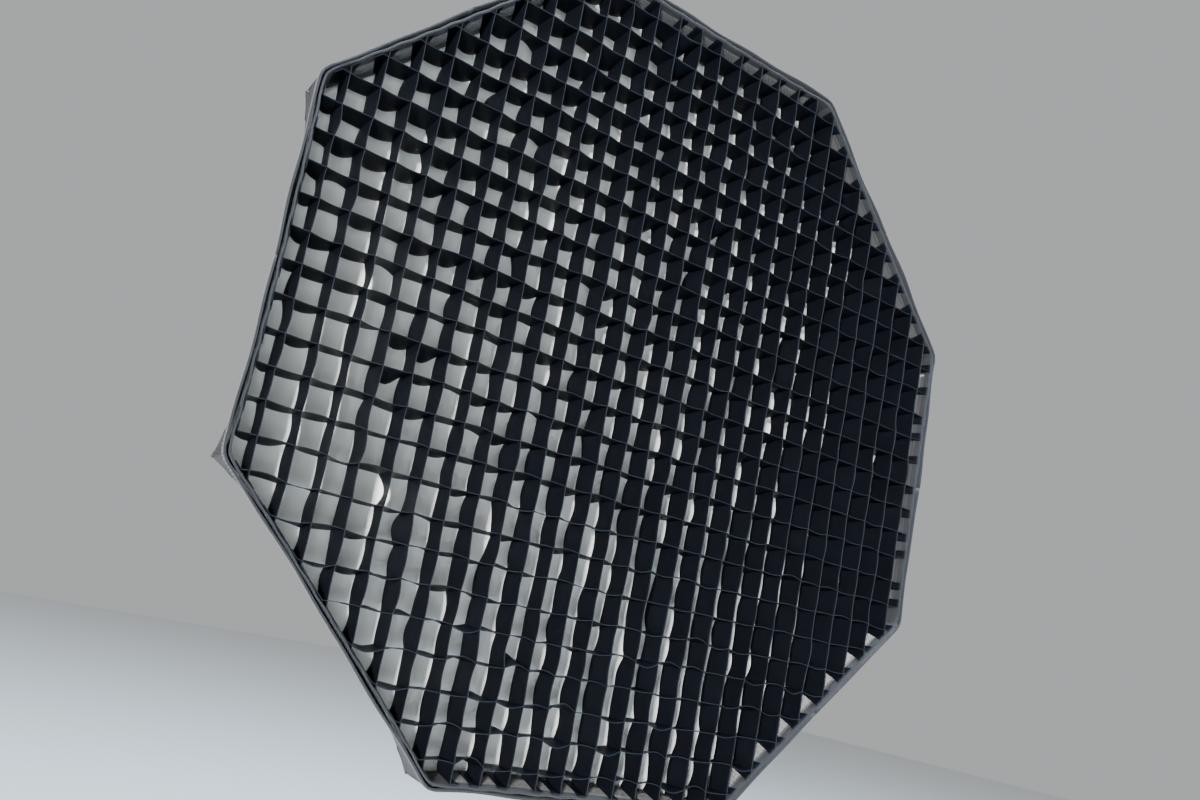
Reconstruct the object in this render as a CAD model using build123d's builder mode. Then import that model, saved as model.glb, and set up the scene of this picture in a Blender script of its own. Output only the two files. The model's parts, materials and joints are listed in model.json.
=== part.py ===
from build123d import *
import os
from math import atan2, ceil, cos, degrees, hypot, radians, sin, sqrt, tan

# A quick-folding octabox with a fabric egg-crate grid, in millimetres.
# The optical axis lies along Y and the light leaves towards -Y. +Z is up.
# The origin is the centre of the lamp's bayonet seat. "Depth" is distance forward, -Y.

os.makedirs("parts", exist_ok=True)

# Overall shape
sides = 8
rim_radius = 600.0            # centre to a corner of the front rim
shell_depth = 400.0           # rod pins to the plane of the rod tips

# Bayonet insert, which the lamp grips
throat_radius = 49.0
insert_wall = 7.0
spigot_length = 10.0          # stands behind the seat
flange_width = 10.0
flange_thickness = 5.0
lug_height = 6.0
lug_root = 1.0                # how far a lug reaches into the wall
lug_thickness = 5.0
lug_gap = 4.0                 # seat to the lugs
lug_arc = 36.0
lug_count = 3

# Speed ring, which turns on the insert
ring_width = 32.0             # insert to the ring's outside
ring_thickness = 10.0
ring_play = 0.3
retainer_width = 8.0
retainer_thickness = 2.5
retainer_bore_play = 0.5
retainer_screw_radius = 1.5
retainer_screw_play = 0.2
retainer_screw_length = 9.0   # depth of the screw holes in the insert
screw_thread_play = 0.05
screw_tip_gap = 1.0
screw_head_radius = 2.8
screw_head_height = 1.8
retainer_screw_count = 4
retainer_screw_bearing = 45.0
cut_past = 2.0                # how far a cut runs on past the face it leaves by

# Rod hinges
pin_inset = 8.0               # ring's outside to each rod's hinge pin
pin_stand_off = 11.0          # ring face to the pins
pin_radius = 2.0
pin_play = 0.06
ear_thickness = 3.5
ear_wall = 4.0
ear_root = 2.0                # how far an ear reaches into the ring
eye_width = 8.0
eye_wall = 3.5
eye_play = 0.25

# Rods
rod_radius = 3.0
rod_stand_off = 4.0           # fabric corner line to the rod's near side
rod_end_gap = 12.0            # middle of the rod's ball tip to the fabric corner
tip_play = 0.3
socket_wall = 2.2
socket_web = 1.0              # how far the eye's web stays inside the socket's outline
socket_start = 13.0
socket_length = 34.0
rod_insertion = 24.0
socket_play = 0.05

# Lock screw
lock_bearing = 0.0            # degrees round the ring from +X
lock_screw_radius = 2.5
lock_screw_play = 0.05
knob_radius = 10.0
knob_length = 15.0
knob_gap = 4.0                # collar to the knob
knob_grips = 8
knob_grip_radius = 2.2
knob_chamfer = 0.8

# Shell fabric
fabric = 1.0
seam_gap = 0.3                # between two panels that are hinged on a fold line
panel_start = 26.0            # ring edge to the first fabric, up the slope
wedge_tip = 0.6               # width of a middle wedge at the rim
collar_margin = 12.0          # ring to the collar's rear corners
collar_gap = 8.59             # shell's corner lines to the collar's front corners
collar_setback = 0.7          # ring's rear face to the collar's rear edge
collar_reach = 25.7           # hinge pins to the collar's front edge
collar_hole_play = 1.0

# Inner baffle
baffle_depth = 230.0          # rod pins to the baffle
baffle_hem = 18.0
baffle_hem_thickness = 2.2
strap_length = 46.0           # stretched, over the hem and up to the hook
strap_width = 20.0
strap_thickness = 1.2
hook_length = 9.0
hook_width = 14.0
hook_thickness = 5.0
hook_corner = 1.5
hook_play = 0.4

# Front diffuser
diffuser_setback = 8.0        # rod tips to the diffuser
diffuser_band_depth = 20.0
diffuser_band_thickness = 1.6
lip_play = 0.5

# Egg-crate grid
grid_depth = 40.0
grid_pitch = 40.0
grid_gap = 20.0               # diffuser's rear to the grid's rear
grid_setback = 2.0            # lip edge to the grid's front
ribbon = 1.0
ribbon_slot_play = 0.4
ribbon_end_play = 0.35
slot_margin = 1.0             # a crossing nearer than this to a ribbon's end has no slot
border_thickness = 1.5
hook_tape_thickness = 3.4
hook_tape_play = 0.3
hook_tape_width = 25.0
hook_tape_end_gap = 40.0
hook_tape_gap = 3.0           # diffuser band to the hook tape

# Derived places. Depths are measured forward from the seat.
half_turn = 180.0 / sides
corner_cos = cos(radians(half_turn))
insert_radius = throat_radius + insert_wall
screw_circle = throat_radius + insert_wall / 2
ring_radius = insert_radius + ring_width
pin_circle = ring_radius - pin_inset
eye_radius = pin_radius + eye_wall
ear_radius = pin_radius + ear_wall
socket_radius = rod_radius + socket_wall
rod_inset = rod_radius + rod_stand_off
collar_rear_radius = ring_radius + collar_margin
knob_start = collar_rear_radius + knob_gap
ring_rear = flange_thickness + ring_play
ring_front = ring_rear + ring_thickness
retainer_rear = ring_front + ring_play
pin_depth = ring_front + pin_stand_off
collar_rear = ring_rear + collar_setback
collar_front = pin_depth + collar_reach
rim_depth = pin_depth + shell_depth
lip_depth = diffuser_setback + grid_gap + grid_depth + grid_setback
lip_front = rim_depth + lip_depth
rod_length = hypot(rim_radius - pin_circle, shell_depth)
rod_angle = atan2(rim_radius - pin_circle, shell_depth)
collar_front_radius = pin_circle + collar_reach * tan(rod_angle) + collar_gap
rim_flat = rim_radius * corner_cos
pin_flat = pin_circle * corner_cos
gore_length = hypot(rim_flat - pin_flat, shell_depth)
gore_angle = atan2(rim_flat - pin_flat, shell_depth)
# How far a rod's centre line stands from the fabric on either side, per unit of inset
fabric_lean = cos(gore_angle) * cos(rod_angle) * corner_cos + sin(gore_angle) * sin(rod_angle)
tip_radius = rod_inset * fabric_lean - tip_play
half_rim_side = rim_radius * sin(radians(half_turn))
half_ring_side = pin_circle * sin(radians(half_turn))
corner_bearings = [half_turn + 2 * half_turn * k for k in range(sides)]
side_bearings = [2 * half_turn * k for k in range(sides)]


def radial(bearing):
    return Vector(cos(radians(bearing)), 0, sin(radians(bearing)))


def tangent(bearing):
    return Vector(-sin(radians(bearing)), 0, cos(radians(bearing)))


def facing(depth):
    """The plane across the axis at a depth: x is +X, y is +Z, and it faces the front."""
    return Plane(origin=(0, -depth, 0), x_dir=(1, 0, 0), z_dir=(0, -1, 0))


def meridian(bearing):
    """The plane through the axis at a bearing: x is outwards, y is +Y."""
    return Plane(origin=(0, 0, 0), x_dir=radial(bearing), z_dir=tangent(bearing))


def along(bearing, angle, start_radius):
    """A plane whose x runs out along a slope, y points out of the shell and z is the tangent."""
    direction = radial(bearing) * sin(angle) + Vector(0, -cos(angle), 0)
    start = radial(bearing) * start_radius + Vector(0, -pin_depth, 0)
    return Plane(origin=start, x_dir=direction, z_dir=tangent(bearing))


def save(piece, name):
    piece.part.label = name
    export_step(piece.part, f"parts/{name}.step")


def save_group(parts, name):
    """Write several separate pieces as one node."""
    group = Compound(label=name, children=parts)
    export_step(group, f"parts/{name}.step")


def octagon(flat):
    """A flat-topped octagon, from its centre-to-side distance."""
    RegularPolygon(flat / corner_cos, sides, rotation=half_turn)


# ---------------------------------------------------------------- bayonet insert
def screw_places():
    return PolarLocations(screw_circle, retainer_screw_count, retainer_screw_bearing)


def make_insert():
    with BuildPart() as insert:
        with BuildSketch(facing(-spigot_length)):
            Circle(insert_radius)
            Circle(throat_radius, mode=Mode.SUBTRACT)
        extrude(amount=spigot_length + retainer_rear)
        with BuildSketch(facing(0)):
            Circle(insert_radius + flange_width)
            Circle(throat_radius, mode=Mode.SUBTRACT)
        extrude(amount=flange_thickness)
        for turn in range(lug_count):
            with BuildSketch(facing(-lug_gap - lug_thickness)):
                with BuildLine():
                    start = turn * 360 / lug_count - lug_arc / 2
                    near = CenterArc((0, 0), insert_radius - lug_root, start, lug_arc)
                    far = CenterArc((0, 0), insert_radius + lug_height, start, lug_arc)
                    Line(near @ 0, far @ 0)
                    Line(near @ 1, far @ 1)
                make_face()
            extrude(amount=lug_thickness)
        with BuildSketch(facing(retainer_rear)):
            with screw_places():
                Circle(retainer_screw_radius)
        extrude(amount=-retainer_screw_length, mode=Mode.SUBTRACT)
    save(insert, "bayonet_insert")

    with BuildPart() as retainer:
        with BuildSketch(facing(retainer_rear)):
            Circle(insert_radius + retainer_width)
            Circle(throat_radius + retainer_bore_play, mode=Mode.SUBTRACT)
            with screw_places():
                Circle(retainer_screw_radius + retainer_screw_play, mode=Mode.SUBTRACT)
        extrude(amount=retainer_thickness)
    save(retainer, "retainer_plate")

    with BuildPart() as screws:
        with BuildSketch(facing(retainer_rear + retainer_thickness)):
            with screw_places():
                Circle(screw_head_radius)
        extrude(amount=screw_head_height)
        with BuildSketch(facing(retainer_rear + retainer_thickness)):
            with screw_places():
                Circle(retainer_screw_radius - screw_thread_play)
        extrude(amount=-(retainer_screw_length + retainer_thickness - screw_tip_gap))
    save(screws, "retainer_screws")


# ---------------------------------------------------------------- speed ring
def make_ring():
    with BuildPart() as ring:
        with BuildSketch(facing(ring_rear)):
            Circle(ring_radius)
            Circle(insert_radius + ring_play, mode=Mode.SUBTRACT)
        extrude(amount=ring_thickness)
        for bearing in corner_bearings:
            for hand in (-1, 1):
                inner_face = hand * (eye_width / 2 + eye_play)
                with BuildSketch(meridian(bearing).offset(inner_face)):
                    with Locations((pin_circle, -pin_depth)):
                        Circle(ear_radius)
                    with Locations((pin_circle, -(pin_depth + ring_front - ear_root) / 2)):
                        Rectangle(2 * ear_radius, pin_stand_off + ear_root)
                extrude(amount=hand * ear_thickness)
        for bearing in corner_bearings:
            with BuildSketch(meridian(bearing)):
                with Locations((pin_circle, -pin_depth)):
                    Circle(pin_radius)
            extrude(amount=eye_width + ear_thickness, both=True, mode=Mode.SUBTRACT)
        lock_plane = Plane(
            origin=Vector(0, -(ring_rear + ring_thickness / 2), 0), z_dir=radial(lock_bearing)
        )
        with BuildSketch(lock_plane.offset(insert_radius)):
            Circle(lock_screw_radius + lock_screw_play)
        extrude(amount=ring_width + cut_past, mode=Mode.SUBTRACT)
    save(ring, "speed_ring")

    with BuildPart() as pins:
        for bearing in corner_bearings:
            with BuildSketch(meridian(bearing)):
                with Locations((pin_circle, -pin_depth)):
                    Circle(pin_radius)
            extrude(amount=eye_width / 2 + eye_play + ear_thickness, both=True)
    save(pins, "rod_hinge_pins")

    with BuildPart() as lock_screw:
        with BuildSketch(lock_plane.offset(insert_radius + ring_play)):
            Circle(lock_screw_radius)
        extrude(amount=knob_start - insert_radius - ring_play)
    save(lock_screw, "lock_screw")

    with BuildPart() as knob:
        with BuildSketch(lock_plane.offset(knob_start)):
            Circle(knob_radius)
            with PolarLocations(knob_radius + knob_grip_radius / 2, knob_grips):
                Circle(knob_grip_radius, mode=Mode.SUBTRACT)
        extrude(amount=knob_length)
        outward = Axis(lock_plane.origin, lock_plane.z_dir)
        chamfer(knob.edges().filter_by(GeomType.CIRCLE).group_by(outward)[-1], knob_chamfer)
    save(knob, "lock_knob")

    with BuildPart() as collar:
        with BuildSketch(facing(collar_rear)):
            octagon(collar_rear_radius * corner_cos)
        with BuildSketch(facing(collar_front)):
            octagon(collar_front_radius * corner_cos)
        loft()
        with BuildSketch(facing(collar_rear)):
            octagon(collar_rear_radius * corner_cos - fabric)
        with BuildSketch(facing(collar_front)):
            octagon(collar_front_radius * corner_cos - fabric)
        loft(mode=Mode.SUBTRACT)
        with BuildSketch(lock_plane.offset(insert_radius)):
            Circle(lock_screw_radius + collar_hole_play)
        extrude(amount=knob_start - insert_radius, mode=Mode.SUBTRACT)
        with BuildSketch(facing(ring_rear + ring_play)):
            octagon(collar_rear_radius * corner_cos - fabric / 2)
            Circle(ring_radius + ring_play, mode=Mode.SUBTRACT)
        extrude(amount=fabric)
    save(collar, "rear_collar")


# ---------------------------------------------------------------- rods
def make_rod(number, bearing):
    line = along(bearing, rod_angle, pin_circle)
    socket_plane = Plane(origin=line.from_local_coords((socket_start, -rod_inset, 0)), z_dir=line.x_dir)

    with BuildPart() as root:
        with BuildSketch(line):
            Circle(eye_radius)
            with BuildLine():
                Polyline(
                    (0, eye_radius),
                    (socket_start + cut_past, socket_radius - rod_inset - socket_web),
                    (socket_start + cut_past, -rod_inset - socket_radius + socket_web),
                    (0, -eye_radius),
                    close=True,
                )
            make_face()
            Circle(pin_radius + pin_play, mode=Mode.SUBTRACT)
        extrude(amount=eye_width / 2, both=True)
        with BuildSketch(socket_plane):
            Circle(socket_radius)
        extrude(amount=socket_length)
        with BuildSketch(socket_plane.offset(socket_length - rod_insertion)):
            Circle(rod_radius + socket_play)
        extrude(amount=rod_insertion, mode=Mode.SUBTRACT)
    save(root, f"rod_root_{number}")

    rod_start = socket_length - rod_insertion + ring_play
    tip_middle = rod_length - rod_end_gap - socket_start
    profile = Plane(origin=socket_plane.origin, x_dir=line.x_dir, z_dir=line.z_dir)
    with BuildPart() as rod:
        with BuildSketch(profile):
            with BuildLine():
                meet = tip_middle - sqrt(tip_radius**2 - rod_radius**2)
                Polyline((meet, rod_radius), (rod_start, rod_radius), (rod_start, 0), (meet, 0))
                Line((meet, 0), (tip_middle + tip_radius, 0))
                ThreePointArc(
                    (tip_middle + tip_radius, 0), (tip_middle, tip_radius), (meet, rod_radius)
                )
            make_face()
        revolve(axis=Axis(socket_plane.origin, line.x_dir))
    save(rod, f"rod_{number}")


# ---------------------------------------------------------------- shell fabric
def make_gore(number, bearing):
    """One side of the shell: a long middle wedge and two outer panels that fold about it."""
    slope = along(bearing, gore_angle, pin_flat)
    wedge_plane = Plane(origin=slope.origin, x_dir=tangent(bearing), z_dir=slope.y_dir)
    wedge_end = gore_length * (1 - (wedge_tip + seam_gap) / (2 * half_ring_side))

    def wedge_half_width(height):
        return half_ring_side * (1 - height / gore_length) - seam_gap / 2

    with BuildPart() as wedge:
        with BuildSketch(wedge_plane):
            with BuildLine():
                low = wedge_half_width(panel_start)
                high = wedge_half_width(wedge_end)
                Polyline(
                    (-low, panel_start),
                    (low, panel_start),
                    (high, wedge_end),
                    (-high, wedge_end),
                    close=True,
                )
            make_face()
        extrude(amount=fabric)
    save(wedge, f"gore_middle_{number}")

    start_flat = pin_flat + panel_start * sin(gore_angle)
    start_y = -pin_depth - panel_start * cos(gore_angle)
    mitre = fabric * tan(gore_angle / 2)
    crease_turn = degrees(atan2(half_ring_side, gore_length))
    for hand, side_name in ((1, "left"), (-1, "right")):
        with BuildPart() as panel:
            with BuildSketch(meridian(bearing)):
                with BuildLine():
                    Polyline(
                        (start_flat, start_y),
                        (rim_flat, -rim_depth),
                        (rim_flat, -lip_front),
                        (rim_flat + fabric, -lip_front),
                        (rim_flat + fabric, -rim_depth + mitre),
                        (start_flat + fabric * cos(gore_angle), start_y + fabric * sin(gore_angle)),
                        close=True,
                    )
                make_face()
            extrude(amount=hand * (half_rim_side + fabric))
            corner_plane = meridian(bearing + hand * half_turn)
            split(
                bisect_by=corner_plane.offset(-hand * seam_gap / 2),
                keep=Keep.BOTTOM if hand > 0 else Keep.TOP,
            )
            split(
                bisect_by=meridian(bearing).offset(hand * seam_gap / 2),
                keep=Keep.TOP if hand > 0 else Keep.BOTTOM,
            )
            crease_start = wedge_plane.from_local_coords((hand * half_ring_side, 0, 0))
            crease_end = wedge_plane.from_local_coords((0, gore_length, 0))
            crease = (crease_end - crease_start).normalized()
            crease_plane = Plane(origin=crease_start, x_dir=crease, z_dir=wedge_plane.z_dir.cross(crease))
            outward = 1 if crease_plane.z_dir.dot(tangent(bearing)) > 0 else -1
            split(
                bisect_by=crease_plane.offset(outward * hand * seam_gap / 2),
                keep=Keep.TOP if outward * hand > 0 else Keep.BOTTOM,
            )
        save(panel, f"gore_{side_name}_{number}")


# ---------------------------------------------------------------- inner baffle
def make_baffle():
    baffle_at = pin_depth + baffle_depth
    rod_line = pin_circle + baffle_depth * tan(rod_angle)
    rod_inner = rod_line - (rod_inset + rod_radius) / cos(rod_angle)
    hook_end = rod_inner - hook_play
    strap_end = hook_end - hook_length / 2
    baffle_radius = strap_end - strap_length + baffle_hem
    flat = baffle_radius * corner_cos
    with BuildPart() as sheet:
        with BuildSketch(facing(baffle_at)):
            octagon(flat)
        extrude(amount=fabric)
    save(sheet, "inner_baffle")

    with BuildPart() as hem:
        with BuildSketch(facing(baffle_at + fabric)):
            octagon(flat)
            octagon_cut(flat - baffle_hem)
        extrude(amount=baffle_hem_thickness)
    save(hem, "baffle_hem")

    with BuildPart() as straps:
        for bearing in corner_bearings:
            with BuildSketch(facing(baffle_at - strap_thickness)):
                with Locations(Location((0, 0, 0), bearing)):
                    with Locations((strap_end - strap_length / 2, 0)):
                        Rectangle(strap_length, strap_width)
            extrude(amount=strap_thickness)
    save(straps, "baffle_straps")

    with BuildPart() as hooks:
        for bearing in corner_bearings:
            with BuildSketch(facing(baffle_at)):
                with Locations(Location((0, 0, 0), bearing)):
                    with Locations((hook_end - hook_length / 2, 0)):
                        RectangleRounded(hook_length, hook_width, hook_corner)
            extrude(amount=hook_thickness)
    save(hooks, "baffle_hooks")


# ---------------------------------------------------------------- front diffuser
def make_diffuser():
    flat = rim_flat - lip_play
    diffuser_at = rim_depth + diffuser_setback
    with BuildPart() as sheet:
        with BuildSketch(facing(diffuser_at)):
            octagon(flat)
        extrude(amount=fabric)
    save(sheet, "front_diffuser")

    with BuildPart() as band:
        with BuildSketch(facing(diffuser_at + fabric)):
            octagon(flat)
            octagon_cut(flat - diffuser_band_thickness)
        extrude(amount=diffuser_band_depth)
    save(band, "diffuser_band")


# ---------------------------------------------------------------- egg-crate grid
def ribbon_reach(offset, flat):
    """Half the length of a ribbon that stands at an offset from the centre of an octagon."""
    return min(flat, flat * sqrt(2) - abs(offset) - ribbon / 2)


def make_grid():
    grid_front = lip_front - grid_setback
    border_flat = rim_flat - hook_tape_thickness - 2 * hook_tape_play
    inner_flat = border_flat - border_thickness
    with BuildPart() as border:
        with BuildSketch(facing(grid_front - grid_depth)):
            octagon(border_flat)
            octagon_cut(inner_flat)
        extrude(amount=grid_depth)
    save(border, "grid_border")

    rows = ceil((inner_flat - grid_pitch / 2) / grid_pitch) - 1
    offsets = [grid_pitch * k for k in range(-rows, rows + 1)]
    centre_depth = grid_front - grid_depth / 2
    slot = ribbon + ribbon_slot_play
    for name, across, up, slot_side in (
        ("grid_upright_ribbons", Vector(1, 0, 0), Vector(0, 0, 1), -1),
        ("grid_level_ribbons", Vector(0, 0, 1), Vector(1, 0, 0), 1),
    ):
        strips = []
        for offset in offsets:
            reach = ribbon_reach(offset, inner_flat) - ribbon_end_play
            place = across * (offset - ribbon / 2) + Vector(0, -centre_depth, 0)
            plane = Plane(origin=place, x_dir=up, z_dir=across)
            forward = 1 if plane.y_dir.Y < 0 else -1
            cut_middle = forward * slot_side * grid_depth / 4
            cuts = [(at, cut_middle) for at in offsets if abs(at) < reach - slot_margin]
            with BuildPart() as strip:
                with BuildSketch(plane):
                    Rectangle(2 * reach, grid_depth)
                    with Locations(*cuts):
                        Rectangle(slot, grid_depth / 2 + ribbon_slot_play, mode=Mode.SUBTRACT)
                extrude(amount=ribbon)
            strips.append(strip.part)
        save_group(strips, name)

    tape_length = 2 * half_rim_side - 2 * hook_tape_end_gap
    tape_rear = rim_depth + diffuser_setback + fabric + diffuser_band_depth + hook_tape_gap
    with BuildPart() as tapes:
        for bearing in side_bearings:
            with BuildSketch(facing(tape_rear)):
                with Locations(Location((0, 0, 0), bearing)):
                    with Locations((border_flat + hook_tape_play + hook_tape_thickness / 2, 0)):
                        Rectangle(hook_tape_thickness, tape_length)
            extrude(amount=hook_tape_width)
    save(tapes, "grid_hook_tapes")


def octagon_cut(flat):
    """An octagonal hole, from its centre-to-side distance."""
    RegularPolygon(flat / corner_cos, sides, rotation=half_turn, mode=Mode.SUBTRACT)


make_insert()
make_ring()
for number, bearing in enumerate(corner_bearings, 1):
    make_rod(number, bearing)
for number, bearing in enumerate(side_bearings, 1):
    make_gore(number, bearing)
make_baffle()
make_diffuser()
make_grid()
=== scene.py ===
import json
from math import atan2, cos, hypot, pi, radians, sin, sqrt, tan

import bpy
import numpy as np
from mathutils import Matrix, Vector


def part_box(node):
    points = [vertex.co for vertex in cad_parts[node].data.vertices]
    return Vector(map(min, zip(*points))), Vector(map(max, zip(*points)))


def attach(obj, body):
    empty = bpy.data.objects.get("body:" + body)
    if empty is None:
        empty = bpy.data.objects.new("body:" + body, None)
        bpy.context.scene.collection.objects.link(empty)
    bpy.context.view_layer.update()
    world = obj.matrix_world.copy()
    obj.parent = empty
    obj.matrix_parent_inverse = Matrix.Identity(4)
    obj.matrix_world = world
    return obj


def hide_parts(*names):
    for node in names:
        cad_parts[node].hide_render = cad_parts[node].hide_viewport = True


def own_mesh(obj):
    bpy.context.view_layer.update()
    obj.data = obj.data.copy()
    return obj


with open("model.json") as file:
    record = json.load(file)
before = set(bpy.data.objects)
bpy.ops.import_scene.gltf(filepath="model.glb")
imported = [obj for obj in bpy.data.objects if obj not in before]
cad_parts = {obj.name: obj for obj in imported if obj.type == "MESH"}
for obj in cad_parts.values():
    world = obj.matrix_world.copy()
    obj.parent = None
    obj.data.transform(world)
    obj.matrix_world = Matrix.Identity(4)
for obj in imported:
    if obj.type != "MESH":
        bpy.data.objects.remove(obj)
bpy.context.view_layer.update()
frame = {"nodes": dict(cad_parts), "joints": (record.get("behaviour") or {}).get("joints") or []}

# Camera: a wide lens held low, close to the box's left front, tipped up and rolled a little.
front_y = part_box("gore_left_1")[0][1]
camera_data = bpy.data.cameras.new("camera")
camera_data.lens = 30.73
camera_data.sensor_width = 36.0
camera_data.shift_x = 0.033
camera_data.shift_y = 0.040
camera = bpy.data.objects.new("camera", camera_data)
bpy.context.scene.collection.objects.link(camera)
heading, pitch, roll = radians(31.11), radians(10.05), radians(11.2)
look = Vector((sin(heading) * cos(pitch), cos(heading) * cos(pitch), sin(pitch)))
level_right = Vector((cos(heading), -sin(heading), 0))
level_up = level_right.cross(look)
camera_right = level_right * cos(roll) + level_up * sin(roll)
camera_up = level_up * cos(roll) - level_right * sin(roll)
turn = Matrix((camera_right, camera_up, -look)).transposed()
camera_place = (-0.8144, front_y - 1.1132, -0.3446)
camera.matrix_world = Matrix.Translation(camera_place) @ turn.to_4x4()
bpy.context.scene.camera = camera


# Studio: a pale floor well below the box, an even pale room, a window at the left front, a
# broad soft light beside the camera and a cool one from above.
def soft_light(name, place, target, size, power, tint):
    light_data = bpy.data.lights.new(name, "AREA")
    light_data.shape = "RECTANGLE"
    light_data.size, light_data.size_y = size
    light_data.energy = power
    light_data.color = tint
    light = bpy.data.objects.new(name, light_data)
    light.location = place
    light.rotation_euler = (Vector(target) - Vector(place)).to_track_quat("-Z", "Y").to_euler()
    bpy.context.scene.collection.objects.link(light)


soft_light("window", (-4.2, -4.8, -0.1), (0, -0.4, 0), (0.7, 0.7), 1650, (1.0, 1.0, 0.97))
soft_light("room_front", (-1.1, -3.6, -0.4), (0, -0.4, 0), (2.2, 1.8), 20, (0.98, 1.0, 0.97))
soft_light("sky", (0.7, -1.7, 2.7), (0, -0.4, -0.3), (2.4, 1.6), 480, (0.62, 0.80, 1.0))

world = bpy.data.worlds.new("room")
bpy.context.scene.world = world
world.use_nodes = True
world.node_tree.nodes["Background"].inputs["Color"].default_value = (0.80, 0.83, 0.84, 1)
world.node_tree.nodes["Background"].inputs["Strength"].default_value = 0.56

floor_drop = 0.95
floor_mesh = bpy.data.meshes.new("floor")
reach = 9.0
floor_mesh.from_pydata(
    [(-reach, -reach, -floor_drop), (reach, -reach, -floor_drop),
     (reach, reach, -floor_drop), (-reach, reach, -floor_drop)], [], [(0, 1, 2, 3)])
floor = bpy.data.objects.new("floor", floor_mesh)
bpy.context.scene.collection.objects.link(floor)
floor_material = bpy.data.materials.new("pale_floor")
floor_material.use_nodes = True
floor_shader = floor_material.node_tree.nodes["Principled BSDF"]
floor_shader.inputs["Base Color"].default_value = (0.72, 0.74, 0.74, 1)
floor_shader.inputs["Roughness"].default_value = 0.8
floor_mesh.materials.append(floor_material)

# ---- Bayonet insert and its retaining plate
# Turned aluminium, clear anodised. The plate is held by four small zinc screws and traps
# the speed ring, which can still turn on the insert.


def add_node(tree, kind, **settings):
    node = tree.nodes.new(kind)
    for key, value in settings.items():
        setattr(node, key, value)
    return node


def new_group(name, inputs, outputs):
    """A shader node group with named float or colour sockets: ("Scale", "NodeSocketFloat", 1.0)."""
    group = bpy.data.node_groups.new(name, "ShaderNodeTree")
    for socket_name, kind, default in inputs:
        made = group.interface.new_socket(name=socket_name, in_out="INPUT", socket_type=kind)
        made.default_value = default
    for socket_name, kind in outputs:
        group.interface.new_socket(name=socket_name, in_out="OUTPUT", socket_type=kind)
    return group, add_node(group, "NodeGroupInput"), add_node(group, "NodeGroupOutput")


def combine(tree, operation, *values):
    """The result of a maths node. Each value is a socket or a plain number."""
    node = add_node(tree, "ShaderNodeMath", operation=operation)
    for socket, value in zip(node.inputs, values):
        if isinstance(value, float):
            socket.default_value = value
        else:
            tree.links.new(value, socket)
    return node.outputs[0]


# Fine grain and patchy wear on hard finishes: a shade, a roughness and a height.
grain_group, grain_in, grain_out = new_group(
    "hard_grain",
    [("Scale", "NodeSocketFloat", 400.0), ("Base Roughness", "NodeSocketFloat", 0.4),
     ("Stretch", "NodeSocketVector", (1, 1, 1))],
    [("Shade", "NodeSocketFloat"), ("Roughness", "NodeSocketFloat"), ("Height", "NodeSocketFloat")])
join = grain_group.links.new
place = add_node(grain_group, "ShaderNodeTexCoord")
stretch = add_node(grain_group, "ShaderNodeVectorMath", operation="MULTIPLY")
join(place.outputs["Object"], stretch.inputs[0])
join(grain_in.outputs["Stretch"], stretch.inputs[1])
fine = add_node(grain_group, "ShaderNodeTexNoise")
join(stretch.outputs[0], fine.inputs["Vector"])
join(grain_in.outputs["Scale"], fine.inputs["Scale"])
broad = add_node(grain_group, "ShaderNodeTexNoise")
broad.inputs["Scale"].default_value = 28.0
broad.inputs["Detail"].default_value = 4.0
join(place.outputs["Object"], broad.inputs["Vector"])
shade = add_node(grain_group, "ShaderNodeMapRange")
shade.inputs["To Min"].default_value = 0.78
shade.inputs["To Max"].default_value = 1.18
join(broad.outputs["Fac"], shade.inputs["Value"])
lower = combine(grain_group, "SUBTRACT", grain_in.outputs["Base Roughness"], 0.11)
spread = combine(grain_group, "MULTIPLY_ADD", broad.outputs["Fac"], 0.22, lower)
join(shade.outputs["Result"], grain_out.inputs["Shade"])
join(spread, grain_out.inputs["Roughness"])
join(fine.outputs["Fac"], grain_out.inputs["Height"])


def new_material(name):
    material = bpy.data.materials.new(name)
    material.use_nodes = True
    return material, material.node_tree, material.node_tree.nodes["Principled BSDF"]


def place_group(tree, group, **values):
    node = add_node(tree, "ShaderNodeGroup", node_tree=group)
    for key, value in values.items():
        node.inputs[key.replace("_", " ")].default_value = value
    return node


def tint_by(tree, shade_socket, colour, target):
    """A colour times a shade, into the target socket."""
    mix = add_node(tree, "ShaderNodeVectorMath", operation="SCALE")
    mix.inputs[0].default_value = colour
    tree.links.new(shade_socket, mix.inputs["Scale"])
    tree.links.new(mix.outputs[0], target)


def bump_by(tree, height_socket, shader, strength, distance):
    bump = add_node(tree, "ShaderNodeBump")
    bump.inputs["Strength"].default_value = strength
    bump.inputs["Distance"].default_value = distance
    tree.links.new(height_socket, bump.inputs["Height"])
    tree.links.new(bump.outputs["Normal"], shader.inputs["Normal"])


grain_height = 0.0004


def hard_material(name, colour, roughness, metallic, scale, bump, stretch=(1, 1, 1)):
    material, tree, shader = new_material(name)
    grain = place_group(tree, grain_group, Scale=scale, Base_Roughness=roughness, Stretch=stretch)
    tint_by(tree, grain.outputs["Shade"], colour, shader.inputs["Base Color"])
    tree.links.new(grain.outputs["Roughness"], shader.inputs["Roughness"])
    shader.inputs["Metallic"].default_value = metallic
    bump_by(tree, grain.outputs["Height"], shader, bump, grain_height)
    return material


def finish_node(node, material):
    """Give a carried-over CAD node its material."""
    node_object = frame["nodes"][node]
    node_object.data.materials.clear()
    node_object.data.materials.append(material)


anodised = hard_material("clear_anodised", (0.62, 0.63, 0.64), 0.32, 1.0, 900, 0.15, (1, 0.15, 1))
zinc = hard_material("zinc_plate", (0.58, 0.57, 0.53), 0.36, 1.0, 700, 0.1)
finish_node("bayonet_insert", anodised)
finish_node("retainer_plate", anodised)
finish_node("retainer_screws", zinc)

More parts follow.
